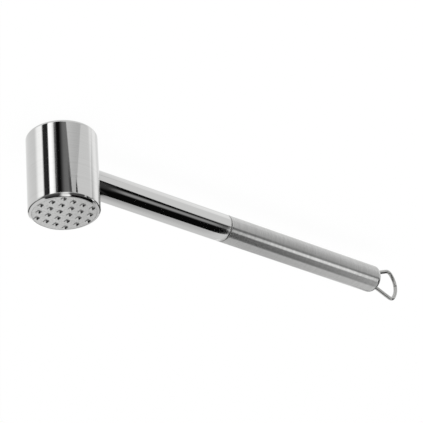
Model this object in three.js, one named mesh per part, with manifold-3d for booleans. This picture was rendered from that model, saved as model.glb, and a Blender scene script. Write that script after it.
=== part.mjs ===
// Meat mallet: a heavy round steel head on a two-part tube handle, with a wire loop for hanging.
// Millimetres, +Z up. The origin is the middle of the smooth striking face, on which the mallet stands.
// The handle runs along +X and the toothed face looks up.
import * as THREE from 'three';
import { mergeVertices } from 'three/addons/utils/BufferGeometryUtils.js';
import Module from 'manifold-3d';

const wasm = await Module();
wasm.setup();

// Driving dimensions, in millimetres
const overrun = 2; // how far a cutting shape runs past what it cuts
const slip = 0.1; // clearance between round pieces that slide into each other
const weld_gap = 0.3; // room between the neck and the head's side, which the weld fills

const head = {
  radius: 22,
  smooth_side: 25.2, // smooth face to the handle's axis
  tooth_side: 28, // handle's axis to the toothed face
  edge_round: 2.2, // rounding of both rims
  wall: 2.3, // side of the polished cup
  floor: 3, // thickness of the smooth striking face
  plate: 6, // thickness of the toothed plate
  core_play: 0.3, // clearance between the core and the cup's side
};
const tooth = {
  side: 3.2, // foot of the square pyramid
  height: 1.3,
  tip: 0.3, // side of the blunt tip
  root: 0.2, // how far the tooth reaches into the plate
  pitch: 7, // from tooth to tooth along a row
  row_spacing: 6.9,
};
const tube = {
  radius: 9,
  wall: 0.9,
  rim_round: 0.4, // rounding of the two rims at the groove
};
const neck = { end: 125.75 }; // head axis to the groove
const groove = { width: 0.9, depth: 0.5 };
const grip = {
  length: 131, // groove to the end face
  end_round: 3.65, // rounding of the closed end
  end_wall: 1.2,
};
const plug = {
  length: 18,
  hole_play: 0.4, // clearance between the plug and the shell's side hole
  seat_step: 1, // how far the core's flat is cut in past the full width of the plug's hole
};
const rod = {
  radius: 3,
  seat_depth: 24, // length screwed into the core
  chamfer: 0.5,
  nut_stand: 1.8, // end that stands out of the nut
};
const bush = {
  neck_length: 14,
  grip_length: 13.5,
  pocket_play: 0.5, // clearance round the nut's corners
  web: 12, // solid stretch in front of the pocket
};
const washer = {
  rim_play: 0.9, // clearance between the washer and the pocket
  thickness: 1.2,
  slit: 1,
};
const nut = { flats: 10, height: 5 };
const loop = {
  wire_radius: 1.25,
  foot_spread: 5.1, // handle's axis to a leg, at the end face
  reach: 19.9, // end face to the furthest point of the wire's centreline
  arc_radius: 13.85, // far side of the loop
  bend_radius: 3.6, // the two corners
  leg_depth: 7, // length of a leg inside the handle
};
const anchor = {
  length: 9,
  bore_play: 0.15, // clearance round and behind the loop's legs
};

// Angles, counts and facets
const quarter = Math.PI / 2;
const leg_angle = THREE.MathUtils.degToRad(21); // between a leg and the handle's axis
const rows_of_teeth = [4, 5, 6, 5, 4];
const nut_sides = 6;
const nut_side_angle = (2 * Math.PI) / nut_sides;
const head_facets = 64;
const tube_facets = 40;
const small_facets = 24;
const round_steps = 5;
const wire_steps = 70;
const wire_facets = 10;

// Sizes that follow from them
const head_height = head.smooth_side + head.tooth_side;
const cup_bore = head.radius - head.wall;
const core_radius = cup_bore - head.core_play;
const tube_bore = tube.radius - tube.wall;
const insert_radius = tube_bore - slip;
const plug_hole_radius = insert_radius + plug.hole_play;
const grip_start = neck.end + groove.width;
const handle_end = grip_start + grip.length;
// The core's flat for the plug is cut deep enough to be as wide as the plug's hole.
const core_flat = Math.sqrt(core_radius ** 2 - plug_hole_radius ** 2) - plug.seat_step;
const bush_start = neck.end - bush.neck_length;
const pocket_floor = bush_start + bush.web;
const washer_end = pocket_floor + washer.thickness;
const nut_end = washer_end + nut.height;
const nut_radius = nut.flats / 2 / Math.cos(nut_side_angle / 2);
const pocket_radius = nut_radius + bush.pocket_play;
const washer_radius = pocket_radius - washer.rim_play;

// Finishes
function finish(color, roughness) {
  return new THREE.MeshStandardMaterial({ color, roughness, metalness: 1 });
}
const polished = finish(0xd8d8d6, 0.08);
const satin = finish(0xc4c4c2, 0.4);
const brushed = finish(0xb4b4b2, 0.32);
const turned = finish(0x9c9c9a, 0.45);
const fastener = finish(0x8a8c8e, 0.5);

// Turns a closed three.js geometry into a solid that can be cut and joined.
function toSolid(geometry) {
  const bare = geometry.clone();
  bare.deleteAttribute('normal');
  bare.deleteAttribute('uv');
  const merged = mergeVertices(bare);
  const position = merged.getAttribute('position');
  const index = merged.getIndex();
  const triangles = [];
  let volume = 0;
  const [a, b, c] = [new THREE.Vector3(), new THREE.Vector3(), new THREE.Vector3()];
  for (let i = 0; i < index.count; i += 3) {
    const corners = [index.getX(i), index.getX(i + 1), index.getX(i + 2)];
    if (new Set(corners).size < corners.length) continue;
    a.fromBufferAttribute(position, corners[0]);
    b.fromBufferAttribute(position, corners[1]);
    c.fromBufferAttribute(position, corners[2]);
    volume += a.dot(b.cross(c));
    triangles.push(...corners);
  }
  if (volume < 0) triangles.reverse();
  return new wasm.Manifold(new wasm.Mesh({
    numProp: 3,
    vertProperties: new Float32Array(position.array),
    triVerts: new Uint32Array(triangles),
  }));
}

function toGeometry(solid) {
  const mesh = solid.getMesh();
  const geometry = new THREE.BufferGeometry();
  geometry.setAttribute('position', new THREE.BufferAttribute(mesh.vertProperties, 3));
  geometry.setIndex(new THREE.BufferAttribute(mesh.triVerts, 1));
  geometry.computeVertexNormals();
  return geometry;
}

function piece(name, solid, material) {
  const mesh = new THREE.Mesh(toGeometry(solid), material);
  mesh.name = name;
  return mesh;
}

// A quarter turn of rounding in a profile, from one angle to another about a centre.
function rounding(x, y, radius, from, to) {
  const points = [];
  for (let i = 0; i <= round_steps; i++) {
    const angle = from + ((to - from) * i) / round_steps;
    points.push([x + radius * Math.cos(angle), y + radius * Math.sin(angle)]);
  }
  return points;
}

// Solids of revolution: a profile of [radius, place along the axis] turned about Z or about X.
function turnedAboutY(profile, facets) {
  return new THREE.LatheGeometry(profile.map(([r, s]) => new THREE.Vector2(r, s)), facets);
}
function aboutZ(profile, facets) {
  return toSolid(turnedAboutY(profile, facets).rotateX(quarter));
}
function aboutX(profile, facets) {
  return toSolid(turnedAboutY(profile, facets).rotateZ(-quarter));
}
function rodProfile(radius, start, end) {
  return [[0, start], [radius, start], [radius, end], [0, end]];
}
function ringProfile(bore, radius, start, end) {
  return [[bore, start], [radius, start], [radius, end], [bore, end], [bore, start]];
}

// Head, turned about Z

function headShell() {
  const inner = head.radius - head.edge_round;
  const cup = aboutZ([
    [0, 0],
    ...rounding(inner, head.edge_round, head.edge_round, -quarter, 0),
    ...rounding(inner, head_height - head.edge_round, head.edge_round, 0, quarter),
    [cup_bore, head_height],
    [cup_bore, head.floor],
    [0, head.floor],
  ], head_facets);
  const side_hole = aboutX(rodProfile(plug_hole_radius, 0, head.radius + overrun), tube_facets);
  return cup.subtract(side_hole.translate([0, 0, head.smooth_side]));
}

function headCore() {
  const slug = aboutZ(rodProfile(core_radius, head.floor, head_height - head.plate), head_facets);
  const flat = aboutX(rodProfile(plug_hole_radius, core_flat, core_radius + overrun), tube_facets);
  const thread_hole = aboutX(
    rodProfile(rod.radius + slip, core_flat - rod.seat_depth - rod.chamfer, core_radius), small_facets);
  return slug.subtract(flat.add(thread_hole).translate([0, 0, head.smooth_side]));
}

// One square pyramid with a blunt tip, which widens on down to its root inside the plate.
function toothSolid() {
  const slope = (tooth.side - tooth.tip) / tooth.height;
  const foot = tooth.side + slope * tooth.root;
  const shape = new THREE.CylinderGeometry(
    tooth.tip * Math.SQRT1_2, foot * Math.SQRT1_2, tooth.height + tooth.root, 4);
  shape.rotateY(quarter / 2).rotateX(quarter);
  return toSolid(shape.translate(0, 0, (tooth.height - tooth.root) / 2));
}

function toothPlate() {
  const radius = cup_bore - slip;
  const start = head_height - head.plate;
  const one = toothSolid();
  const middle_row = (rows_of_teeth.length - 1) / 2;
  let plate = aboutZ(rodProfile(radius, start, head_height), head_facets);
  rows_of_teeth.forEach((count, row) => {
    for (let i = 0; i < count; i++) {
      const x = (i - (count - 1) / 2) * tooth.pitch;
      const y = (row - middle_row) * tooth.row_spacing;
      plate = plate.add(one.translate([x, y, head_height]));
    }
  });
  // The corners of the outer teeth end at the plate's edge.
  const limit = aboutZ(rodProfile(radius, start, head_height + tooth.height + overrun), head_facets);
  return plate.intersect(limit);
}

// Handle, turned about X with the head's axis at zero

function neckTube() {
  const blank = aboutX([
    [tube_bore, 0],
    [tube.radius, 0],
    ...rounding(tube.radius - tube.rim_round, neck.end - tube.rim_round, tube.rim_round, 0, quarter),
    [tube_bore, neck.end],
    [tube_bore, 0],
  ], tube_facets);
  // The front end is coped to the head's round side.
  const cope = aboutZ(
    rodProfile(head.radius + weld_gap, -tube.radius - overrun, tube.radius + overrun), head_facets);
  return blank.subtract(cope);
}

function neckPlug() {
  return aboutX(
    ringProfile(rod.radius + slip, insert_radius, core_flat, core_flat + plug.length), tube_facets);
}

function tieRod() {
  const start = core_flat - rod.seat_depth;
  const end = nut_end + rod.nut_stand;
  return aboutX([
    [0, start],
    [rod.radius - rod.chamfer, start],
    [rod.radius, start + rod.chamfer],
    [rod.radius, end - rod.chamfer],
    [rod.radius - rod.chamfer, end],
    [0, end],
  ], small_facets);
}

function couplingBush() {
  const shoulder = tube.radius - groove.depth;
  const bush_end = grip_start + bush.grip_length;
  return aboutX([
    [rod.radius + slip, bush_start],
    [insert_radius, bush_start],
    [insert_radius, neck.end],
    [shoulder, neck.end],
    [shoulder, grip_start],
    [insert_radius, grip_start],
    [insert_radius, bush_end],
    [pocket_radius, bush_end],
    [pocket_radius, pocket_floor],
    [rod.radius + slip, pocket_floor],
    [rod.radius + slip, bush_start],
  ], tube_facets);
}

function lockWasher() {
  const ring = aboutX(
    ringProfile(rod.radius + slip, washer_radius, pocket_floor, washer_end), small_facets);
  const slit = new THREE.BoxGeometry(washer.thickness + 2 * overrun, washer.slit, washer_radius);
  slit.translate(pocket_floor, 0, (rod.radius + washer_radius) / 2);
  return ring.subtract(toSolid(slit));
}

function tieNut() {
  const hexagon = new THREE.Shape();
  for (let i = 0; i < nut_sides; i++) {
    const angle = i * nut_side_angle;
    const corner = [Math.cos(angle) * nut_radius, Math.sin(angle) * nut_radius];
    if (i === 0) hexagon.moveTo(...corner);
    else hexagon.lineTo(...corner);
  }
  hexagon.closePath();
  const block = new THREE.ExtrudeGeometry(hexagon, { depth: nut.height, bevelEnabled: false });
  block.rotateY(quarter).translate(washer_end, 0, 0);
  const bore = aboutX(
    rodProfile(rod.radius + slip, washer_end - overrun, nut_end + overrun), small_facets);
  return toSolid(block).subtract(bore);
}

// Loop and what holds it

// Centreline of the wire in the plane of handle and head: along the handle from the end face, and across.
function loopOutline() {
  const along = new THREE.Vector2(Math.cos(leg_angle), Math.sin(leg_angle));
  const inward = new THREE.Vector2(Math.sin(leg_angle), -Math.cos(leg_angle));
  const foot = new THREE.Vector2(0, loop.foot_spread);
  const arc_centre = new THREE.Vector2(loop.reach - loop.arc_radius, 0);
  // The bend's centre lies a bend radius inside the leg and inside the far arc.
  const base = foot.clone().addScaledVector(inward, loop.bend_radius).sub(arc_centre);
  const inner = loop.arc_radius - loop.bend_radius;
  const half = base.dot(along);
  const run = -half + Math.sqrt(half ** 2 - base.lengthSq() + inner ** 2);
  const bend = base.clone().addScaledVector(along, run);
  const arc_angle = bend.angle();
  bend.add(arc_centre);
  const start = foot.clone().addScaledVector(along, -loop.leg_depth / Math.cos(leg_angle));
  const leg_end = bend.clone().addScaledVector(inward, -loop.bend_radius);
  const across = quarter + leg_angle;
  const outline = new THREE.Path();
  outline.moveTo(start.x, start.y);
  outline.lineTo(leg_end.x, leg_end.y);
  outline.absarc(bend.x, bend.y, loop.bend_radius, across, arc_angle, true);
  outline.absarc(arc_centre.x, arc_centre.y, loop.arc_radius, arc_angle, -arc_angle, true);
  outline.absarc(bend.x, -bend.y, loop.bend_radius, -arc_angle, -across, true);
  outline.lineTo(start.x, -start.y);
  return outline;
}

class WireCurve extends THREE.Curve {
  constructor(outline) {
    super();
    this.outline = outline;
  }

  getPoint(t, target = new THREE.Vector3()) {
    const point = this.outline.getPoint(t);
    return target.set(point.x, 0, point.y);
  }
}

function hangingLoop() {
  const section = new THREE.Shape();
  section.absarc(0, 0, loop.wire_radius, 0, 2 * Math.PI);
  const wire = new THREE.ExtrudeGeometry(section, {
    steps: wire_steps,
    curveSegments: wire_facets / 2,
    extrudePath: new WireCurve(loopOutline()),
  });
  return toSolid(wire.translate(handle_end, 0, 0));
}

// The two slanting holes for the legs, in the closed end and in the anchor behind it.
function legHoles() {
  const radius = loop.wire_radius + anchor.bore_play;
  const depth = loop.leg_depth / Math.cos(leg_angle) + anchor.bore_play;
  const hole = turnedAboutY(rodProfile(radius, -depth, overrun), small_facets).rotateZ(-quarter);
  const upper = hole.clone().rotateY(-leg_angle).translate(handle_end, 0, loop.foot_spread);
  const lower = hole.clone().rotateY(leg_angle).translate(handle_end, 0, -loop.foot_spread);
  return toSolid(upper).add(toSolid(lower));
}

function gripTube() {
  const inner_round = grip.end_round - tube.wall;
  const inner_end = handle_end - grip.end_wall;
  const blank = aboutX([
    [tube_bore, grip_start],
    ...rounding(tube.radius - tube.rim_round, grip_start + tube.rim_round, tube.rim_round, -quarter, 0),
    ...rounding(tube.radius - grip.end_round, handle_end - grip.end_round, grip.end_round, 0, quarter),
    [0, handle_end],
    [0, inner_end],
    ...rounding(tube_bore - inner_round, inner_end - inner_round, inner_round, quarter, 0),
    [tube_bore, grip_start],
  ], tube_facets);
  return blank.subtract(legHoles());
}

function loopAnchor() {
  const end = handle_end - grip.end_wall;
  const start = end - anchor.length;
  const round = grip.end_round - tube.wall;
  const block = aboutX([
    [0, start],
    [insert_radius, start],
    ...rounding(insert_radius - round, end - round, round, 0, quarter),
    [0, end],
  ], tube_facets);
  return block.subtract(legHoles());
}

// Assembly

const mallet = new THREE.Group();

const head_group = new THREE.Group();
head_group.add(
  piece('head_shell', headShell(), polished),
  piece('head_core', headCore(), turned),
  piece('tooth_plate', toothPlate(), satin),
);

const handle_group = new THREE.Group();
handle_group.position.set(0, 0, head.smooth_side);
handle_group.add(
  piece('neck_tube', neckTube(), polished),
  piece('neck_plug', neckPlug(), turned),
  piece('tie_rod', tieRod(), fastener),
  piece('coupling_bush', couplingBush(), polished),
  piece('lock_washer', lockWasher(), fastener),
  piece('tie_nut', tieNut(), fastener),
  piece('grip_tube', gripTube(), brushed),
  piece('loop_anchor', loopAnchor(), turned),
  piece('hanging_loop', hangingLoop(), polished),
);

mallet.add(head_group, handle_group);

export default mallet;
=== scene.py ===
# %% [markdown]
# A steel meat mallet, dressed for its portrait. The real one has a heavy polished head with a smooth face
# and a toothed face, a straight tube handle in two finishes, and a wire loop to hang it by. The packed
# model already holds every size and place. Here each piece that shows is made again with finer curves,
# and each steel gets the finish that it leaves the workshop with.

# %% Load the frame
import math

import bmesh
import bpy
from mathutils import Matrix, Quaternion, Vector


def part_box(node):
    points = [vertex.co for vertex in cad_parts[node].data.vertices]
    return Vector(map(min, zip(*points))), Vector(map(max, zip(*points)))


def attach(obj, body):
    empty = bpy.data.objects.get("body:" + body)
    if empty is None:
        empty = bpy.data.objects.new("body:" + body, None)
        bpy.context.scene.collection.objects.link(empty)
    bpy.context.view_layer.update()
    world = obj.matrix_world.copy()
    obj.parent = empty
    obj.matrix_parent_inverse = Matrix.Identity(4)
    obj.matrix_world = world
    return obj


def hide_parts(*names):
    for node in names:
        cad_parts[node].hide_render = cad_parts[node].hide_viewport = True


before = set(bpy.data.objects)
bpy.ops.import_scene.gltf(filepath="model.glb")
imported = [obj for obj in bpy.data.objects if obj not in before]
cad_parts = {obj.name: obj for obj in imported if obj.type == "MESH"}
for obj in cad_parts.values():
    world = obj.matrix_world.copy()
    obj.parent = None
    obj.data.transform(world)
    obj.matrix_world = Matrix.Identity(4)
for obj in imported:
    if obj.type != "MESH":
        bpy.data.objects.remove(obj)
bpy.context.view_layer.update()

print("pieces in the frame:", ", ".join(sorted(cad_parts)))

# %% [markdown]
# Sizes could be typed in again, but then they could drift from the model. So they are read from the boxes
# of the frame's nodes: +X runs along the handle, +Z up to the toothed face, and everything is in metres.

# %% Sizes from the frame
MM = 0.001


def lowest(node):
    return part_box(node)[0]


def highest(node):
    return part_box(node)[1]


def half_width(node):
    return (highest(node).y - lowest(node).y) / 2


head_radius = half_width("head_shell")
head_height = highest("head_shell").z
plate_radius = half_width("tooth_plate")
plate_floor = lowest("tooth_plate").z
tooth_height = highest("tooth_plate").z - head_height
tube_radius = half_width("neck_tube")
handle_height = (highest("neck_tube").z + lowest("neck_tube").z) / 2
neck_end = highest("neck_tube").x
grip_start = lowest("grip_tube").x
grip_end = highest("grip_tube").x
bush_start = lowest("coupling_bush").x
bush_end = highest("coupling_bush").x
shoulder_radius = half_width("coupling_bush")
insert_radius = half_width("neck_plug")
print(f"head {2 * head_radius / MM:.1f} mm across, handle {2 * tube_radius / MM:.1f} mm across")

# %% [markdown]
# The camera comes before the pieces, because every finish is judged through it. A long lens far away
# keeps the two sides of the tube nearly parallel, as a product photograph does. The camera is given by
# the direction that it looks from, its roll, the point that it looks at and its distance, which are
# easier to read than a matrix.

# %% Camera
scene = bpy.context.scene
camera_azimuth = 221.507
camera_elevation = 29.421
camera_roll = 175.656
camera_aim = Vector((0.11329, 0.00459, 0.01911))
camera_distance = 1.42421
camera_lens = 191.28
camera_reach = 20


def direction(azimuth, elevation):
    """The way from the mallet to a viewer. Azimuth 0 is in front, where the viewer looks along +Y."""
    turn, rise = math.radians(azimuth), math.radians(elevation)
    return Vector((
        math.sin(turn) * math.cos(rise),
        -math.cos(turn) * math.cos(rise),
        math.sin(rise),
    ))


camera = bpy.data.objects.new("camera", bpy.data.cameras.new("camera"))
scene.collection.objects.link(camera)
towards_camera = direction(camera_azimuth, camera_elevation)
level = (-towards_camera).to_track_quat("-Z", "Y")
camera.rotation_mode = "QUATERNION"
camera.rotation_quaternion = level @ Quaternion((0, 0, 1), math.radians(camera_roll))
camera.location = camera_aim + towards_camera * camera_distance
camera.data.lens = camera_lens
camera.data.clip_end = camera_reach
scene.camera = camera
scene.view_settings.view_transform = "Standard"
print("camera at", tuple(round(value, 3) for value in camera.location))

# %% [markdown]
# Node trees are built by code many times below, so a few small helpers keep each material short. One adds
# a node with its settings and sockets in a single call, and two add a sum or an eased range. The last two
# make and use a node group, which is an effect that several materials share, with its own named inputs
# and outputs.

# %% Helpers for nodes
def add(tree, kind, values=None, **settings):
    """Adds a node. A socket takes a plain value, or another node's output to link to."""
    made = tree.nodes.new(kind)
    for name, value in settings.items():
        setattr(made, name, value)
    for key, value in (values or {}).items():
        if isinstance(value, bpy.types.NodeSocket):
            tree.links.new(value, made.inputs[key])
        else:
            made.inputs[key].default_value = value
    return made


def calculate(tree, operation, first, second):
    return add(tree, "ShaderNodeMath", {0: first, 1: second}, operation=operation).outputs[0]


def smooth_range(tree, value, low, high, to_low=0.0, to_high=1.0):
    """Eases a value from one range into another."""
    eased = add(tree, "ShaderNodeMapRange", {
        "Value": value, "From Min": low, "From Max": high, "To Min": to_low, "To Max": to_high,
    }, interpolation_type="SMOOTHSTEP")
    return eased.outputs[0]


def new_group(name, inputs, outputs):
    """A shader node group with named sockets, each given as (name, kind of socket)."""
    tree = bpy.data.node_groups.new(name, "ShaderNodeTree")
    print("node group:", name)
    for socket, kind in inputs:
        tree.interface.new_socket(socket, in_out="INPUT", socket_type=kind)
    for socket, kind in outputs:
        tree.interface.new_socket(socket, in_out="OUTPUT", socket_type=kind)
    return tree, tree.nodes.new("NodeGroupInput"), tree.nodes.new("NodeGroupOutput")


def use_group(tree, group, values):
    return add(tree, "ShaderNodeGroup", values, node_tree=group)


# %% [markdown]
# A polished mallet is mostly a picture of the room it lies in, so the studio matters as much as the
# steel. The background is plain white for the camera and for reflections, and a little softer where it
# only lights the floor. A large lamp overhead, which reflections don't see, gives the soft shadow.

# %% World and lamp
white = (1, 1, 1, 1)
fill_strength = 0.8
softbox_size = 0.9
softbox_power = 7
softbox_place = (0.1, 0.1, 1.3)


def show_background(tree):
    """1 for a ray that sees the studio itself: straight, in a reflection or through glass."""
    ray = add(tree, "ShaderNodeLightPath")
    seen = calculate(tree, "MAXIMUM", ray.outputs["Is Camera Ray"], ray.outputs["Is Glossy Ray"])
    return calculate(tree, "MAXIMUM", seen, ray.outputs["Is Transmission Ray"])


world = bpy.data.worlds.new("white_studio")
world.use_nodes = True
world.node_tree.nodes.clear()
room = world.node_tree
background = add(room, "ShaderNodeBackground", {"Color": white, "Strength": 1.0})
fill = add(room, "ShaderNodeBackground", {"Color": white, "Strength": fill_strength})
choose = add(room, "ShaderNodeMixShader", {
    0: show_background(room), 1: fill.outputs[0], 2: background.outputs[0],
})
add(room, "ShaderNodeOutputWorld", {"Surface": choose.outputs[0]})
scene.world = world

softbox = bpy.data.lights.new("softbox", "AREA")
softbox.shape = "DISK"
softbox.size = softbox_size
softbox.energy = softbox_power
softbox_object = bpy.data.objects.new("softbox", softbox)
softbox_object.location = softbox_place
softbox_object.visible_glossy = False
scene.collection.objects.link(softbox_object)
print("world:", world.name, "and lamp:", softbox.name)

# %% [markdown]
# The floor is a plain pale sheet under the smooth face. Seen by the camera it is nearly white by itself,
# and the rest of its brightness comes from the light that falls on it, so that a faint shadow stays where
# the mallet stands. Reflections look past it to the white room, as they do for a mallet lying on lit
# glass.

# %% Floor
floor_size = 6.0
floor_own_light_share = 0.965
paper_white = (0.9, 0.9, 0.9, 1)

floor_mesh = bpy.data.meshes.new("floor")
half = floor_size / 2
floor_corners = [(-half, -half, 0), (half, -half, 0), (half, half, 0), (-half, half, 0)]
floor_mesh.from_pydata(floor_corners, [], [(0, 1, 2, 3)])
floor = bpy.data.objects.new("floor", floor_mesh)
scene.collection.objects.link(floor)
floor.visible_glossy = False

paper = bpy.data.materials.new("pale_paper")
paper.use_nodes = True
sheet = paper.node_tree
sheet.nodes.clear()
matt = add(sheet, "ShaderNodeBsdfDiffuse", {"Color": paper_white})
glow = add(sheet, "ShaderNodeEmission", {"Color": white, "Strength": 1.0})
share = calculate(sheet, "MULTIPLY", show_background(sheet), floor_own_light_share)
mixed = add(sheet, "ShaderNodeMixShader", {0: share, 1: matt.outputs[0], 2: glow.outputs[0]})
add(sheet, "ShaderNodeOutputMaterial", {"Surface": mixed.outputs[0]})
floor_mesh.materials.append(paper)
print(f"floor: {floor_size:.0f} m across")

# %% [markdown]
# Photographers of chrome draw its shape with cards: black ones give it depth and bright ones give it
# sparkle. Most cards here are bent round the head's axis or the handle's, a few are level, and only
# reflections see them. A card's edges can lean and be soft, and its shade can change from one edge to the
# other. The soft edges are a node group that all cards share.

# %% Soft edges for the cards
border, border_in, border_out = new_group(
    "soft_border",
    [("Place", "NodeSocketVector"), ("First", "NodeSocketFloat"), ("Last", "NodeSocketFloat"),
     ("Start", "NodeSocketFloat"), ("End", "NodeSocketFloat")],
    [("Mask", "NodeSocketFloat")],
)
card_place = add(border, "ShaderNodeSeparateXYZ", {0: border_in.outputs["Place"]})
across, along = card_place.outputs[0], card_place.outputs[1]
sides = [
    smooth_range(border, across, 0.0, border_in.outputs["First"]),
    smooth_range(border, calculate(border, "SUBTRACT", 1.0, across), 0.0, border_in.outputs["Last"]),
    smooth_range(border, along, 0.0, border_in.outputs["Start"]),
    smooth_range(border, calculate(border, "SUBTRACT", 1.0, along), 0.0, border_in.outputs["End"]),
]
mask = sides[0]
for side in sides[1:]:
    mask = calculate(border, "MULTIPLY", mask, side)
border.links.new(mask, border_out.inputs["Mask"])


def card_material(name, shades, soft):
    """A card's own light, fading to nothing at its soft edges.

    shades holds the light at the card's first and last edge where it starts, and the same two where it ends.
    """
    material = bpy.data.materials.new(name)
    material.use_nodes = True
    tree = material.node_tree
    tree.nodes.clear()
    place = add(tree, "ShaderNodeTexCoord").outputs["UV"]
    mask = use_group(tree, border, {
        "Place": place, "First": soft[0], "Last": soft[1], "Start": soft[2], "End": soft[3],
    })
    parts = add(tree, "ShaderNodeSeparateXYZ", {0: place})
    at_start = smooth_range(tree, parts.outputs[0], 0.0, 1.0, shades[0], shades[1])
    at_end = smooth_range(tree, parts.outputs[0], 0.0, 1.0, shades[2], shades[3])
    strength = smooth_range(tree, parts.outputs[1], 0.0, 1.0, at_start, at_end)
    light = add(tree, "ShaderNodeEmission", {"Color": white, "Strength": strength})
    clear = add(tree, "ShaderNodeBsdfTransparent")
    shown = add(tree, "ShaderNodeMixShader", {0: mask.outputs[0], 1: clear.outputs[0], 2: light.outputs[0]})
    add(tree, "ShaderNodeOutputMaterial", {"Surface": shown.outputs[0]})
    return material


# %% [markdown]
# A flat card could be a single face, but one that is bent round an axis needs many. So a card is a small
# grid of faces, and one function builds it for every card and asks another where each point lies. Its UV
# map runs evenly from edge to edge, because the shade and the soft edges are worked out from it.

# %% Making a card
card_steps = 24
sharp_share = 0.004
cards = []


def make_card(name, point_at, shades, soft):
    """A card through point_at(u, v), with u across it and v along it, both from 0 to 1."""
    card = bmesh.new()
    uv = card.loops.layers.uv.new("UVMap")
    grid = []
    for j in range(card_steps + 1):
        row = []
        for i in range(card_steps + 1):
            u, v = i / card_steps, j / card_steps
            row.append((card.verts.new(point_at(u, v)), (u, v)))
        grid.append(row)
    for j in range(card_steps):
        for i in range(card_steps):
            corners = [grid[j][i], grid[j][i + 1], grid[j + 1][i + 1], grid[j + 1][i]]
            face = card.faces.new([corner[0] for corner in corners])
            for loop, corner in zip(face.loops, corners):
                loop[uv].uv = corner[1]
    mesh = bpy.data.meshes.new(name)
    card.to_mesh(mesh)
    card.free()
    piece = bpy.data.objects.new(name, mesh)
    scene.collection.objects.link(piece)
    shades = shades if len(shades) == 4 else (*shades, *shades)
    mesh.materials.append(card_material(name, shades, [max(share, sharp_share) for share in soft]))
    for ray in ("camera", "diffuse", "transmission", "volume_scatter", "shadow"):
        setattr(piece, f"visible_{ray}", False)
    cards.append(piece)


def round_axis(about, radius, angle, place):
    """The point at a distance and an angle round the head's or the handle's axis, and a place along it."""
    across, up = radius * math.cos(angle), radius * math.sin(angle)
    if about == "head":
        return across, up, place
    return place, across, handle_height + up


# %% [markdown]
# Round steel mirrors what stands in a ring about it, in the order of its angles. So most cards are given
# by their angles round the head's or the handle's axis and by a span along it. Only the cards over the
# head are given by their corners.

# %% Bent and level cards
def bent_card(name, about, radius, angles, span, shades, soft=(0, 0, 0, 0), end_angles=None,
              round_tip=False, lean=0.0):
    """A card round the head's or the handle's axis.

    angles are those of its first and last edge where the span starts, and end_angles where it ends, if they
    differ. In degrees, the head's angles run from +X towards +Y, and the handle's from +Y towards +Z. soft
    gives the share of the card that its first edge, last edge, start and end each take to fade. lean is how
    far the last edge is moved along the axis.
    """
    end_angles = end_angles or angles

    def point_at(u, v):
        first, last = [start + (end - start) * v for start, end in zip(angles, end_angles)]
        if round_tip:
            middle, half = (first + last) / 2, (last - first) / 2 * math.sqrt(1 - v * v)
            first, last = middle - half, middle + half
        angle = math.radians(first + (last - first) * u)
        return round_axis(about, radius, angle, span[0] + (span[1] - span[0]) * v + lean * u)

    make_card(name, point_at, shades, soft)


def level_card(name, height, corners, shades, soft):
    """A level card over the head. Its corners go round it from the start of its first edge."""
    first_start, last_start, last_end, first_end = [Vector((*corner, height)) for corner in corners]

    def point_at(u, v):
        return first_start.lerp(last_start, u).lerp(first_end.lerp(last_end, u), v)

    make_card(name, point_at, shades, soft)


# %% [markdown]
# Round the head, a belt of cards hangs below its middle, where a viewer above the floor sees it mirrored
# in the round side. It has a pale panel, a narrow black strip, a bright panel, the dark opening that the
# viewer looks through, and a grey wall that meets a pale one, with a thin gap between them. Past the
# belt, a pale corner of the room and a low glow brighten the side towards the handle.

# %% Cards round the head
layer = 0.001
belt_radius = 0.30
belt_low = -0.26
belt = (belt_low, -0.04)
corner_radius = 1.2
glow_radius = 0.5

bent_card("pale_panel", "head", belt_radius, angles=(189, 222), span=belt,
          shades=(1.62, 1.5), soft=(0.1, 0.5, 0.1, 0.2))
bent_card("black_strip", "head", belt_radius - 3 * layer, angles=(168.5, 188.5), span=(belt_low, 0.08),
          shades=(0.025, 0.04), soft=(0.12, 0.1, 0, 0.4))
bent_card("bright_panel", "head", belt_radius, angles=(131, 169), span=(belt_low, 0.03),
          shades=(0.85, 2.0), soft=(0.35, 0.06, 0, 0.4))
bent_card("opening", "head", belt_radius - 10 * layer, angles=(120, 157), span=(belt_low, 0),
          shades=(0.006, 0.006), soft=(0.42, 0.44, 0, 0.3))
bent_card("grey_wall", "head", belt_radius, angles=(127, 150), end_angles=(87.3, 150), span=belt,
          shades=(0.26, 0.18), soft=(0.03, 0, 0, 0.2))
bent_card("wall_edge", "head", belt_radius - 6 * layer, angles=(107.3, 116), end_angles=(92.9, 103),
          span=(-0.14, -0.06), shades=(0.08, 0.13), soft=(0.08, 0.5, 0.35, 0.1))
bent_card("pale_wall", "head", belt_radius + 10 * layer, angles=(29, 142), end_angles=(120, 142), span=belt,
          shades=(0.74, 1.0), soft=(0.03, 0, 0, 0.3))
bent_card("thin_gap", "head", belt_radius - 10 * layer, angles=(86.0, 87.2), end_angles=(79.6, 91.4),
          span=(-0.12, -0.092), shades=(0.005, 0.005), soft=(0.1, 0.1, 0.36, 0.1))
bent_card("pale_corner", "head", corner_radius, angles=(-17, 37), span=(-0.9, -0.4),
          shades=(1.32, 1.32), soft=(0.35, 0.3, 0.1, 0.1))
bent_card("low_glow", "head", glow_radius, angles=(-78, -27), span=(-0.06, 0.25),
          shades=(1.9, 1.9), soft=(0.2, 0.15, 0.3, 0.3))
print("cards below and round the head:", len(cards))

# %% [markdown]
# Higher up, what stands round the head is mirrored in its rounded rims: a tall window with dark walls on
# both sides, and a dark roof with a window in it. A dark band in four parts runs round it all, where the
# walls of the studio meet, and rises and falls on its way. Where one card is to hide another, it hangs a
# few layers nearer to the head.

# %% Cards beside and over the head
side_radius = 0.29
side_wall = (-0.07, 0.30)
roof_height = 0.15
band_radius = 0.31
wide_band_radius = 0.60

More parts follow.
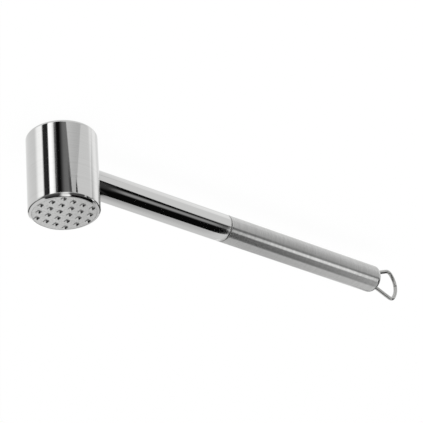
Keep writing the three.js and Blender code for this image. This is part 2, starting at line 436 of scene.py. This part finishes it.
bent_card("tall_window", "head", side_radius - 5 * layer, angles=(105.5, 141), span=(-0.10, 0.30),
          shades=(1.38, 1.1, 1.6, 1.3), soft=(0.35, 0.45, 0.25, 0))
bent_card("left_wall", "head", side_radius, angles=(122, 197), end_angles=(122, 206), span=side_wall,
          shades=(0.18, 0.30, 0.04, 0.05), soft=(0, 0.15, 0.3, 0))
bent_card("right_wall", "head", side_radius, angles=(60, 123), span=side_wall,
          shades=(0.14, 0.20, 0.05, 0.05), soft=(0.1, 0, 0.3, 0))
level_card("left_roof", roof_height, ((-0.16, 0.25), (-0.30, 0.02), (0.045, -0.062), (0.046, -0.060)),
           shades=(0.12, 0.12, 0.015, 0.015), soft=(0, 0.05, 0, 0))
level_card("right_roof", roof_height, ((-0.16, 0.22), (0.112, 0.22), (0.104, -0.095), (0.044, -0.070)),
           shades=(0.15, 0.15, 0, 0), soft=(0, 0.06, 0, 0.1))
level_card("roof_shade", roof_height - layer,
           ((-0.02, 0.095), (0.102, 0.095), (0.105, -0.065), (0.046, -0.060)),
           shades=(0.004, 0.004), soft=(0, 0.06, 0.25, 0.03))
level_card("roof_window", roof_height - 3 * layer,
           ((-0.265, 0.24), (-0.098, 0.26), (0.042, -0.047), (0.031, -0.045)),
           shades=(1.05, 0.6, 1.2, 2.0), soft=(0.42, 0.14, 0, 0.2))
bent_card("far_band", "head", band_radius, angles=(186, 216), span=(0.098, 0.248),
          shades=(0.02, 0.02), soft=(0.3, 0.03, 0.3, 0.3))
bent_card("falling_band", "head", band_radius + 3 * layer, angles=(215, 274), span=(0.09, 0.24),
          shades=(0.02, 0.02), soft=(0.03, 0.1, 0.3, 0.3), lean=-0.125)
bent_card("rising_band", "head", wide_band_radius, angles=(-36, 2), span=(-0.27, 0.11),
          shades=(0.02, 0.02), soft=(0.1, 0.02, 0.3, 0.3), lean=0.235)
bent_card("near_band", "head", wide_band_radius + 3 * layer, angles=(1, 60), span=(-0.04, 0.26),
          shades=(0.03, 0.04), soft=(0.02, 0.1, 0.3, 0.3), lean=0.07)
print("cards for the head:", len(cards))

# %% [markdown]
# Over the handle, a black hood gives the neck its long dark band. A grey slit in the hood makes the soft
# line inside the band, and the hood's round tip makes the band end round. Below the hood a pale card
# brightens one edge of the tube, and beyond it two grey ones calm the other. The grip mirrors the same
# kind of hood, only paler, with a bright gap in it.

# %% Cards over the handle
hood_radius = 0.25
neck_low, neck_high = 0.15, 0.302
neck_span = (neck_low, neck_high)
grip_span = (0.303, 0.47)

bent_card("hood", "handle", hood_radius, angles=(-10.4, 97), end_angles=(8.5, 91.5), span=(neck_low, 0.2875),
          shades=(0.004, 0.004))
bent_card("hood_tip", "handle", hood_radius + 3 * layer, angles=(8.5, 90.5), end_angles=(16, 98),
          span=(0.284, neck_high), shades=(0.004, 0.004), round_tip=True)
bent_card("slit", "handle", hood_radius - 5 * layer, angles=(12.5, 47.5), end_angles=(12, 43),
          span=(0.176, neck_high), shades=(0.42, 0.42, 0.4, 0.4), soft=(0.42, 0.42, 0.18, 0.2))
bent_card("hood_start", "handle", hood_radius - 4 * layer, angles=(-2, 60), span=(neck_low, 0.195),
          shades=(0.07, 0.05), soft=(0.2, 0.4, 0, 0.5))
bent_card("low_side", "handle", hood_radius, angles=(-105, -54), span=(0.165, neck_high),
          shades=(1.1, 1.1, 1.25, 1.25), soft=(0.3, 0.2, 0.3, 0))
bent_card("far_side", "handle", hood_radius + 3 * layer, angles=(92, 150), span=neck_span,
          shades=(0.52, 0.92, 0.75, 0.92), soft=(0, 0, 0, 0.15))
bent_card("back_side", "handle", hood_radius + 4 * layer, angles=(143, 216), span=neck_span,
          shades=(0.92, 0.75))
bent_card("grip_shade", "handle", hood_radius - 3 * layer, angles=(-75, 24), span=grip_span,
          shades=(0.86, 0.33, 0.9, 0.46), soft=(0.3, 0.1, 0, 0.1))
bent_card("grip_gap", "handle", hood_radius + 5 * layer, angles=(12, 50), span=grip_span,
          shades=(1.2, 1.2, 1.85, 1.85))
bent_card("grip_hood", "handle", hood_radius, angles=(39, 100), span=grip_span,
          shades=(0.26, 0.13, 0.53, 0.38), soft=(0.12, 0.25, 0, 0.1))
bent_card("grip_side", "handle", hood_radius + 5 * layer, angles=(88, 216), span=grip_span,
          shades=(0.74, 0.60, 0.94, 0.80), soft=(0, 0.1, 0, 0.1))
print("cards in all:", len(cards))

# %% [markdown]
# The head, its toothed disc, the bush and the grip are turned pieces, so they are made as a turner makes
# them: an outline is spun round an axis. Blender's Screw modifier could do it, but a few lines of mesh
# code keep the seam welded and let the outline be written in real sizes, with its roundings as arcs.

# %% Helpers for turned pieces
turned_sides = 192
round_steps = 10
long_stretch = 1.0 * MM
hold_gap = 0.04 * MM
on_axis = 0.001 * MM


def arc(centre, radius, start, end, steps=round_steps):
    """Points along a rounding, each (distance from the axis, place along it). Angles are in degrees."""
    points = []
    for i in range(steps + 1):
        angle = math.radians(start + (end - start) * i / steps)
        points.append((centre[0] + radius * math.cos(angle), centre[1] + radius * math.sin(angle)))
    return points


def hold_straights(profile):
    """Adds a point near each end of a long straight stretch, so that smooth shading leaves it flat."""
    held = [profile[0]]
    for start, end in zip(profile, profile[1:]):
        length = math.dist(start, end)
        if length > long_stretch:
            for share in (hold_gap / length, 1 - hold_gap / length):
                held.append(tuple(a + (b - a) * share for a, b in zip(start, end)))
        held.append(end)
    return held


def turn(profile, about):
    """Spins an outline of (radius, place) points round the head's or the handle's axis."""
    mesh = bmesh.new()
    rings = []
    for radius, place in hold_straights(profile):
        count = 1 if radius < on_axis else turned_sides
        rings.append([
            mesh.verts.new(round_axis(about, radius, 2 * math.pi * k / turned_sides, place))
            for k in range(count)
        ])
    for low, high in zip(rings, rings[1:]):
        if len(low) == len(high) == 1:
            continue
        for k in range(turned_sides):
            corners = [ring[i % len(ring)] for ring, i in ((low, k), (low, k + 1), (high, k + 1), (high, k))]
            mesh.faces.new(list(dict.fromkeys(corners)))
    return mesh


# %% [markdown]
# Every piece that shows takes the same last steps. Its points are merged, its faces are made to agree on
# which way is out, and only its true corners stay sharp. Then it gets its material and is hung on its body,
# and the piece of the model that it stands for is hidden. Holes are cut by a Boolean modifier, whose result
# is read back as a mesh, so that the finished piece carries no modifier.

# %% Finishing and cutting a piece
sharp_edge = math.radians(32)
merge_gap = 0.0005 * MM


def make_object(name, mesh):
    """Turns a bmesh into an object, with its faces made to agree with each other."""
    bmesh.ops.remove_doubles(mesh, verts=mesh.verts, dist=merge_gap)
    bmesh.ops.recalc_face_normals(mesh, faces=mesh.faces)
    data = bpy.data.meshes.new(name)
    mesh.to_mesh(data)
    mesh.free()
    made = bpy.data.objects.new(name, data)
    scene.collection.objects.link(made)
    return made


def finish_piece(name, mesh, node, material):
    """Makes an object of a bmesh, shades it, and lets it stand for its CAD node."""
    piece = make_object(name, mesh)
    piece.data.shade_smooth()
    piece.data.set_sharp_from_angle(angle=sharp_edge)
    piece.data.materials.append(material)
    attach(piece, "root")
    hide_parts(node)
    print(f"{name}: {len(piece.data.polygons)} faces")


def cut(mesh, cutter):
    """Cuts one bmesh with another by a Boolean modifier, and gives the result back as a bmesh."""
    things = [make_object("blank", source) for source in (mesh, cutter)]
    modifier = things[0].modifiers.new("cut", "BOOLEAN")
    modifier.object = things[1]
    modifier.operation = "DIFFERENCE"
    modifier.solver = "EXACT"
    shaped = things[0].evaluated_get(bpy.context.evaluated_depsgraph_get())
    result = bmesh.new()
    result.from_mesh(shaped.to_mesh())
    shaped.to_mesh_clear()
    for thing in things:
        data = thing.data
        bpy.data.objects.remove(thing)
        bpy.data.meshes.remove(data)
    return result


# %% [markdown]
# Steel grain is the same thing at different sizes: fine lines that run one way. Noise that is squeezed
# across the lines and stretched along them gives it. The group below gives a fine and a broad layer, so
# that a surface can show both single scratches and the faint bands that a belt or a wheel leaves.

# %% Grain
grain_low, grain_high = 0.3, 0.7

grain_group, grain_in, grain_out = new_group(
    "steel_grain",
    [("Place", "NodeSocketVector"), ("Fine", "NodeSocketVector"), ("Broad", "NodeSocketVector")],
    [("Lines", "NodeSocketFloat"), ("Bands", "NodeSocketFloat")],
)
for socket, output, detail in (("Fine", "Lines", 3.0), ("Broad", "Bands", 4.0)):
    squeezed = add(grain_group, "ShaderNodeVectorMath", {
        0: grain_in.outputs["Place"], 1: grain_in.outputs[socket],
    }, operation="MULTIPLY")
    noise = add(grain_group, "ShaderNodeTexNoise", {
        "Vector": squeezed.outputs[0], "Scale": 1.0, "Detail": detail, "Roughness": 0.6,
    })
    spread = smooth_range(grain_group, noise.outputs[0], grain_low, grain_high)
    grain_group.links.new(spread, grain_out.inputs[output])

# %% [markdown]
# No steel in a kitchen is evenly clean. A second group gives soft clouds, where fingers and drying water
# leave a haze, and a few hairlines from being put away with other tools.

# %% Handling marks
haze_low, haze_high = 0.45, 0.75
hairline_low, hairline_high = 0.74, 0.80
hairline_squeeze = (2600.0, 90.0, 90.0)

marks_group, marks_in, marks_out = new_group(
    "handling_marks",
    [("Place", "NodeSocketVector"), ("Cloud Size", "NodeSocketFloat"),
     ("Hairline Turn", "NodeSocketVector")],
    [("Haze", "NodeSocketFloat"), ("Hairlines", "NodeSocketFloat")],
)
cloud = add(marks_group, "ShaderNodeTexNoise", {
    "Vector": marks_in.outputs["Place"], "Scale": marks_in.outputs["Cloud Size"],
    "Detail": 4.0, "Roughness": 0.55,
})
haze = smooth_range(marks_group, cloud.outputs[0], haze_low, haze_high)
marks_group.links.new(haze, marks_out.inputs["Haze"])
turned_place = add(marks_group, "ShaderNodeVectorRotate", {
    "Vector": marks_in.outputs["Place"], "Rotation": marks_in.outputs["Hairline Turn"],
}, rotation_type="EULER_XYZ")
squeezed_place = add(marks_group, "ShaderNodeVectorMath", {
    0: turned_place.outputs[0], 1: hairline_squeeze,
}, operation="MULTIPLY")
scratches = add(marks_group, "ShaderNodeTexNoise", {
    "Vector": squeezed_place.outputs[0], "Scale": 1.0, "Detail": 1.0,
})
hairlines = smooth_range(marks_group, scratches.outputs[0], hairline_low, hairline_high)
marks_group.links.new(hairlines, marks_out.inputs["Hairlines"])

# %% [markdown]
# All the steels share one recipe: a metal whose colour, roughness and bump come from the grain and the
# marks. What differs is how strong each is and which way the lines run. Fine lines across a surface also
# stretch its reflections, which is the shader's anisotropy, and the Tangent node says round which axis
# the lines run.

# %% Steel
cloud_scale = 55.0
hairline_turn = (0.4, 0.9, 0.3)
line_shade_share = 0.8
quarter_turn = 0.25


def weighted_sum(tree, base, parts):
    """base, plus each socket times its weight."""
    total = base
    for socket, weight in parts:
        if weight:
            added = add(tree, "ShaderNodeMath", {0: socket, 1: weight, 2: total}, operation="MULTIPLY_ADD")
            total = added.outputs[0]
    return total


def steel(name, colour, dark, roughness, fine, broad, lines=0.0, bands=0.0, haze=0.0, hairlines=0.0,
          shade=0.0, bump=0.0, stretch=0.0, lines_round=None):
    """A steel finish.

    fine and broad squeeze the grain along X, Y and Z, per metre. lines, bands, haze and hairlines are
    what each adds to the roughness. shade is how far the grain turns the colour dark, and bump is the
    depth of the lines. stretch is the anisotropy, with the lines running round the axis named in
    lines_round.
    """
    material = bpy.data.materials.new(name)
    material.use_nodes = True
    tree = material.node_tree
    tree.nodes.clear()
    place = add(tree, "ShaderNodeTexCoord").outputs["Object"]
    grain = use_group(tree, grain_group, {"Place": place, "Fine": fine, "Broad": broad}).outputs
    marks = use_group(tree, marks_group, {
        "Place": place, "Cloud Size": cloud_scale, "Hairline Turn": hairline_turn,
    }).outputs
    rough = weighted_sum(tree, roughness, [
        (grain["Lines"], lines), (grain["Bands"], bands),
        (marks["Haze"], haze), (marks["Hairlines"], hairlines),
    ])
    darkening = weighted_sum(tree, 0.0, [
        (grain["Lines"], shade * line_shade_share), (grain["Bands"], shade * (1 - line_shade_share)),
    ])
    mixed = add(tree, "ShaderNodeMix", {0: darkening, 6: (*colour, 1), 7: (*dark, 1)}, data_type="RGBA")
    shader = add(tree, "ShaderNodeBsdfPrincipled", {
        "Base Color": mixed.outputs[2], "Metallic": 1.0, "Roughness": rough, "Anisotropic": stretch,
        "Anisotropic Rotation": quarter_turn if stretch else 0.0,
    })
    if bump:
        raised = add(tree, "ShaderNodeBump", {"Height": grain["Lines"], "Distance": bump, "Strength": 1.0})
        tree.links.new(raised.outputs[0], shader.inputs["Normal"])
    if lines_round:
        tangent = add(tree, "ShaderNodeTangent", direction_type="RADIAL", axis=lines_round)
        tree.links.new(tangent.outputs[0], shader.inputs["Tangent"])
    add(tree, "ShaderNodeOutputMaterial", {"Surface": shader.outputs[0]})
    return material


bright = (0.56, 0.56, 0.555)
dull = (0.42, 0.42, 0.415)

# %% [markdown]
# The head is a mirror-polished cup, and its smooth striking face is the cup's floor. Both rims are
# rounded over, so that the smooth face flattens meat without cutting it. Polishing wheels ran round the
# head, and the faint lines that they left give the reflections their slightly soft edges.

# %% Head body
rim_round = 2.2 * MM
cup_wall = 2.3 * MM
cup_floor = 3.0 * MM
cup_bore = head_radius - cup_wall
rim_inner = head_radius - rim_round

head_polish = steel(
    "head_polish", bright, dull, roughness=0.025, fine=(12.0, 12.0, 1400.0), broad=(14.0, 14.0, 420.0),
    lines=0.05, bands=0.02, haze=0.01, hairlines=0.03, shade=0.25, bump=0.0001 * MM,
)
finish_piece("head_body", turn([
    (0, 0),
    *arc((rim_inner, rim_round), rim_round, -90, 0),
    *arc((rim_inner, head_height - rim_round), rim_round, 0, 90),
    (cup_bore, head_height),
    (cup_bore, cup_floor),
    (0, cup_floor),
], "head"), "head_shell", head_polish)

# %% [markdown]
# The toothed face is a satin disc pressed into the cup's mouth, with 24 square pyramids in rows of 4, 5,
# 6, 5 and 4. Each tooth is lofted through rounded squares: a steep foot in a small hollow rounding, a
# straight flank, and a blunt tip worn round. Plain pyramids would be quicker, but they have knife edges,
# which worn steel doesn't.

# %% Tooth outline
tooth_side = 3.2 * MM
tooth_tip = 0.3 * MM
tooth_pitch = 7.0 * MM
row_spacing = 6.9 * MM
rows_of_teeth = (4, 5, 6, 5, 4)
foot_round = 0.1 * MM
foot_rise = 0.4 * MM
foot_slope = 64
tip_round = 0.07 * MM
corner_share = 0.4
corner_steps = 4
bend_gap = 0.03 * MM
sunk = 0.03 * MM


def tooth_levels():
    """(half side, height over the land) from foot to tip. The lowest part stands steeper than the flank."""
    steep = math.radians(foot_slope)
    foot_half = tooth_side / 2 - foot_rise / math.tan(steep)
    tip_half = tooth_tip / 2 + tip_round
    flank = math.atan2(tooth_height - foot_rise, foot_half - tip_half)
    reach = tooth_side / 2 + foot_round * math.tan(steep / 2)
    levels = [(reach + sunk, -sunk)]
    levels += arc((reach, foot_round), foot_round, -90, -90 - foot_slope, corner_steps)
    for slope, step in ((steep, -bend_gap), (flank, bend_gap)):
        levels.append((foot_half - step * math.cos(slope), foot_rise + step * math.sin(slope)))
    top_half = tip_half - tip_round * math.tan(flank / 2)
    tip_start = 90 - math.degrees(flank)
    levels += arc((top_half, tooth_height - tip_round), tip_round, tip_start, 90, corner_steps)
    return levels


def rounded_square(half, corner):
    """Points of a square with rounded corners, anticlockwise."""
    points = []
    for quarter, (sign_x, sign_y) in enumerate(((1, 1), (-1, 1), (-1, -1), (1, -1))):
        for i in range(corner_steps + 1):
            angle = math.pi / 2 * (quarter + i / corner_steps)
            points.append((
                sign_x * (half - corner) + corner * math.cos(angle),
                sign_y * (half - corner) + corner * math.sin(angle),
            ))
    return points


print("levels in a tooth:", len(tooth_levels()), "points in each:", len(rounded_square(1, corner_share)))

# %% [markdown]
# The teeth stand in a turned disc, each as a closed form of its own that starts just below the land. A
# Boolean union could join them to it, but it would look the same and shade less cleanly. The whole face
# was blasted to an even satin, so its grain is nearly alike in every direction.

# %% Tooth disc
disc_edge = 0.12 * MM
disc_edge_steps = 3


def join_rings(mesh, rings):
    """Faces from each ring of points to the next, and one over each end."""
    for low, high in zip(rings, rings[1:]):
        for k in range(len(low)):
            following = (k + 1) % len(low)
            mesh.faces.new((low[k], low[following], high[following], high[k]))
    mesh.faces.new(rings[0][::-1])
    mesh.faces.new(rings[-1])


def add_tooth(mesh, x, y):
    """Lofts one tooth on the land. Corners that would pass the disc's edge end there."""
    rings = []
    for half, height in tooth_levels():
        ring = []
        for dx, dy in rounded_square(half, corner_share * half):
            point = Vector((x + dx, y + dy, 0))
            if point.length > plate_radius - sunk:
                point *= (plate_radius - sunk) / point.length
            ring.append(mesh.verts.new((point.x, point.y, head_height + height)))
        rings.append(ring)
    join_rings(mesh, rings)


tooth_satin = steel(
    "tooth_satin", bright, (0.34, 0.34, 0.335), roughness=0.11,
    fine=(1000.0, 1200.0, 1000.0), broad=(500.0, 600.0, 500.0),
    lines=0.06, bands=0.05, haze=0.03, hairlines=0.03, shade=0.55, bump=0.001 * MM,
)
disc = turn([
    (0, plate_floor),
    (plate_radius, plate_floor),
    *arc((plate_radius - disc_edge, head_height - disc_edge), disc_edge, 0, 90, disc_edge_steps),
    (0, head_height),
], "head")
middle_row = (len(rows_of_teeth) - 1) / 2
for row, count in enumerate(rows_of_teeth):
    for i in range(count):
        add_tooth(disc, (i - (count - 1) / 2) * tooth_pitch, (row - middle_row) * row_spacing)
finish_piece("tooth_disc", disc, "tooth_plate", tooth_satin)
print("teeth:", sum(rows_of_teeth), "half side at the tip in mm:", round(tooth_levels()[-1][0] / MM, 3))

# %% [markdown]
# The neck is a polished tube. Its front end is coped, which means cut to the curve of the round head, and
# a small weld runs round the joint. A Boolean cut would leave ragged faces there, so each line along the
# tube is simply started on the head's surface. Its far end has a small rounded rim beside the groove.

# %% Neck
slip = 0.1 * MM
tube_bore = insert_radius + slip
weld_round = 0.6 * MM
weld_steps = 6
into_head = 0.05 * MM
rim = 0.4 * MM
rim_steps = 6


def on_head(radius, angle):
    """How far along the handle a line of the tube meets the head's round side."""
    return math.sqrt(head_radius ** 2 - (radius * math.cos(angle)) ** 2)


def neck_line(angle):
    """The outline of the neck at one angle round it, as (radius, place) points."""
    outside = tube_radius + weld_round
    points = [(radius, on_head(radius, angle) - into_head) for radius in (tube_bore, outside)]
    for k in range(weld_steps + 1):
        bend = math.pi / 2 * k / weld_steps
        radius = tube_radius + weld_round * (1 - math.sin(bend))
        points.append((radius, on_head(radius, angle) + weld_round * (1 - math.cos(bend))))
    points.append((tube_radius, points[-1][1] + hold_gap))
    points.append((tube_radius, neck_end - rim - hold_gap))
    points += arc((tube_radius - rim, neck_end - rim), rim, 0, 90, rim_steps)
    points.append((tube_bore, neck_end))
    return points


def make_neck():
    mesh = bmesh.new()
    lines = []
    for k in range(turned_sides):
        angle = 2 * math.pi * k / turned_sides
        lines.append([
            mesh.verts.new(round_axis("handle", radius, angle, place)) for radius, place in neck_line(angle)
        ])
    for k, line in enumerate(lines):
        following = lines[(k + 1) % turned_sides]
        for i in range(len(line)):
            j = (i + 1) % len(line)
            mesh.faces.new((line[i], line[j], following[j], following[i]))
    return mesh


neck_polish = steel(
    "neck_polish", bright, dull, roughness=0.03, fine=(4200.0, 90.0, 90.0), broad=(260.0, 20.0, 20.0),
    lines=0.02, bands=0.02, haze=0.01, hairlines=0.02, shade=0.05, bump=0.0001 * MM,
)
finish_piece("neck", make_neck(), "neck_tube", neck_polish)

# %% [markdown]
# Between neck and grip the bush shows as the floor of a narrow groove. Its steel is rougher than the
# polished neck, and its colour is set a little darker as painted shade for the groove.

# %% Coupling ring
bush_web = 12 * MM
pocket_radius = 6.27 * MM
pocket_floor = bush_start + bush_web
rod_hole = 3.1 * MM

# Painted shade: the bush's colour and its dark grain colour are darker than the neck's, to shade the groove.
bush_painted_shade = steel(
    "bush_painted_shade", (0.46, 0.46, 0.45), (0.2, 0.2, 0.19), roughness=0.26,
    fine=(6000.0, 200.0, 200.0), broad=(800.0, 60.0, 60.0),
    lines=0.12, bands=0.06, haze=0.1, shade=0.5, bump=0.001 * MM,
)
finish_piece("coupling_ring", turn([
    (rod_hole, bush_start),
    (insert_radius, bush_start),
    (insert_radius, neck_end),
    (shoulder_radius, neck_end),
    (shoulder_radius, grip_start),
    (insert_radius, grip_start),
    (insert_radius, bush_end),
    (pocket_radius, bush_end),
    (pocket_radius, pocket_floor),
    (rod_hole, pocket_floor),
    (rod_hole, bush_start),
], "handle"), "coupling_bush", bush_painted_shade)

# %% [markdown]
# The loop is a stirrup of drawn wire: two legs that spread from the end face, two tight bends and a wide
# far arc. A curve object with a round bevel would be quick, but its corners would only be guesses, so the
# outline is worked out from the leg's angle and the radii, and the wire's section is carried along it.

# %% Loop outline
wire_radius = 1.25 * MM
foot_spread = 5.1 * MM
loop_reach = highest("hanging_loop").x - wire_radius - grip_end
far_radius = 13.85 * MM
bend_radius = 3.6 * MM
leg_depth = 7.0 * MM
leg_angle = math.radians(21)
leg_length = leg_depth / math.cos(leg_angle)
leg_steps = 8
bend_steps = 14
far_steps = 14


def on_circle(centre, radius, angle):
    return centre + radius * Vector((math.cos(angle), math.sin(angle)))


def loop_points():
    """Points along half the wire, each with the wire's direction there.

    A point is (place beyond the end face, offset from the handle's axis).
    """
    ahead = Vector((math.cos(leg_angle), math.sin(leg_angle)))
    inward = Vector((math.sin(leg_angle), -math.cos(leg_angle)))
    foot = Vector((0, foot_spread))
    far_centre = Vector((loop_reach - far_radius, 0))
    base = foot + inward * bend_radius - far_centre
    back = base.dot(ahead)
    run = -back + math.sqrt(back ** 2 - base.length_squared + (far_radius - bend_radius) ** 2)
    bend_centre = foot + inward * bend_radius + ahead * run
    split = math.atan2(bend_centre.y, bend_centre.x - far_centre.x)
    start = math.pi / 2 + leg_angle
    leg_start = foot - ahead * leg_length
    leg_end = bend_centre - inward * bend_radius
    points = [(leg_start.lerp(leg_end, i / leg_steps), leg_angle) for i in range(leg_steps)]
    for i in range(bend_steps + 1):
        angle = start + (split - start) * i / bend_steps
        points.append((on_circle(bend_centre, bend_radius, angle), angle - math.pi / 2))
    for i in range(1, far_steps + 1):
        angle = split * (1 - i / far_steps)
        points.append((on_circle(far_centre, far_radius, angle), angle - math.pi / 2))
    return points


print(f"the loop reaches {(loop_reach + wire_radius) / MM:.1f} mm past the grip")

# %% [markdown]
# The loop is symmetric, so only half of its path was worked out, and the other half is its mirror image.
# At each step the wire's section is a ring of points, set square to the wire and joined to the ring before
# it. Drawing the wire through a die left fine lines along it. One fault is left: past the middle of the
# far arc the rings are mirrored as well, so the skin crosses itself over the next 0.7 mm and the faces of
# the lower half point inwards.

# %% Hanging loop
wire_sides = 32


def section(mesh, centre, heading, radius):
    """A ring of points square to a wire that runs at an angle to +X in the plane of the loop."""
    across = Vector((-math.sin(heading), 0, math.cos(heading)))
    ring = []
    for k in range(wire_sides):
        angle = 2 * math.pi * k / wire_sides
        offset = across * math.cos(angle) + Vector((0, math.sin(angle), 0))
        ring.append(mesh.verts.new(centre + offset * radius))
    return ring


def make_loop():
    upper = loop_points()
    lower = [(Vector((point.x, -point.y)), -heading) for point, heading in upper[-2::-1]]
    mesh = bmesh.new()
    join_rings(mesh, [
        section(mesh, Vector((grip_end + point.x, 0, handle_height + point.y)), heading, wire_radius)
        for point, heading in upper + lower
    ])
    return mesh


wire_finish = steel(
    "wire_finish", (0.47, 0.47, 0.46), (0.2, 0.2, 0.19), roughness=0.12,
    fine=(500.0, 5000.0, 5000.0), broad=(60.0, 900.0, 900.0),
    lines=0.06, bands=0.06, haze=0.05, hairlines=0.1, shade=0.3, bump=0.001 * MM,
)
finish_piece("wire_loop", make_loop(), "hanging_loop", wire_finish)

# %% [markdown]
# The grip is the same tube as the neck with another finish: it was brushed while it turned, so fine lines
# run round it and smear every reflection along the handle. Its far end is closed and rounded, with two
# slanting holes for the loop's legs. Only the holes need a Boolean cut.

# %% Grip
end_round = 3.65 * MM
end_wall = 1.2 * MM
end_steps = 14
wall = tube_radius - tube_bore
inner_round = end_round - wall
inner_end = grip_end - end_wall
inner_steps = 8
hole_play = 0.15 * MM
overrun = 2 * MM


def leg_hole(side):
    """A cutter along one leg of the loop. side is 1 above the axis and -1 below it."""
    mesh = bmesh.new()
    lean = side * leg_angle
    ahead = Vector((math.cos(lean), 0, math.sin(lean)))
    foot = Vector((grip_end, 0, handle_height + side * foot_spread))
    join_rings(mesh, [
        section(mesh, foot + ahead * run, lean, wire_radius + hole_play)
        for run in (-leg_length - hole_play, overrun)
    ])
    return mesh


grip_blank = turn([
    (tube_bore, grip_start),
    *arc((tube_radius - rim, grip_start + rim), rim, -90, 0, rim_steps),
    *arc((tube_radius - end_round, grip_end - end_round), end_round, 0, 90, end_steps),
    (0, grip_end),
    (0, inner_end),
    *arc((tube_bore - inner_round, inner_end - inner_round), inner_round, 90, 0, inner_steps),
    (tube_bore, grip_start),
], "handle")
grip_brushed = steel(
    "grip_brushed", (0.53, 0.53, 0.525), (0.33, 0.33, 0.325), roughness=0.15,
    fine=(1900.0, 60.0, 60.0), broad=(420.0, 24.0, 24.0),
    lines=0.04, bands=0.02, haze=0.02, shade=0.45, bump=0.001 * MM, stretch=0.9, lines_round="X",
)
for side in (1, -1):
    grip_blank = cut(grip_blank, leg_hole(side))
finish_piece("grip", grip_blank, "grip_tube", grip_brushed)

# %% [markdown]
# Six pieces stay hidden inside: the heavy core, the plug, the tie rod with its washer and nut, and the
# anchor that holds the loop. Their shapes are right as they are, so they keep the model's meshes and only
# get a finish: turned steel for the round ones, and a duller steel for the fasteners.

# %% Pieces inside
turned_steel = steel(
    "turned_steel", (0.5, 0.5, 0.49), (0.25, 0.25, 0.24), roughness=0.35,
    fine=(1800.0, 1800.0, 1800.0), broad=(200.0, 200.0, 200.0),
    lines=0.12, bands=0.08, haze=0.08, shade=0.5, bump=0.004 * MM,
)
fastener_steel = steel(
    "fastener_steel", (0.42, 0.42, 0.42), (0.18, 0.18, 0.18), roughness=0.42,
    fine=(2600.0, 500.0, 500.0), broad=(160.0, 160.0, 160.0),
    lines=0.12, bands=0.1, haze=0.1, shade=0.6, bump=0.004 * MM,
)
inside = {
    "head_core": turned_steel,
    "neck_plug": turned_steel,
    "loop_anchor": turned_steel,
    "tie_rod": fastener_steel,
    "lock_washer": fastener_steel,
    "tie_nut": fastener_steel,
}
for name, material in inside.items():
    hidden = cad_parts[name]
    if not hidden.material_slots:
        hidden.data.materials.append(material)
    for slot in hidden.material_slots:
        slot.material = material
print("pieces inside:", ", ".join(inside))
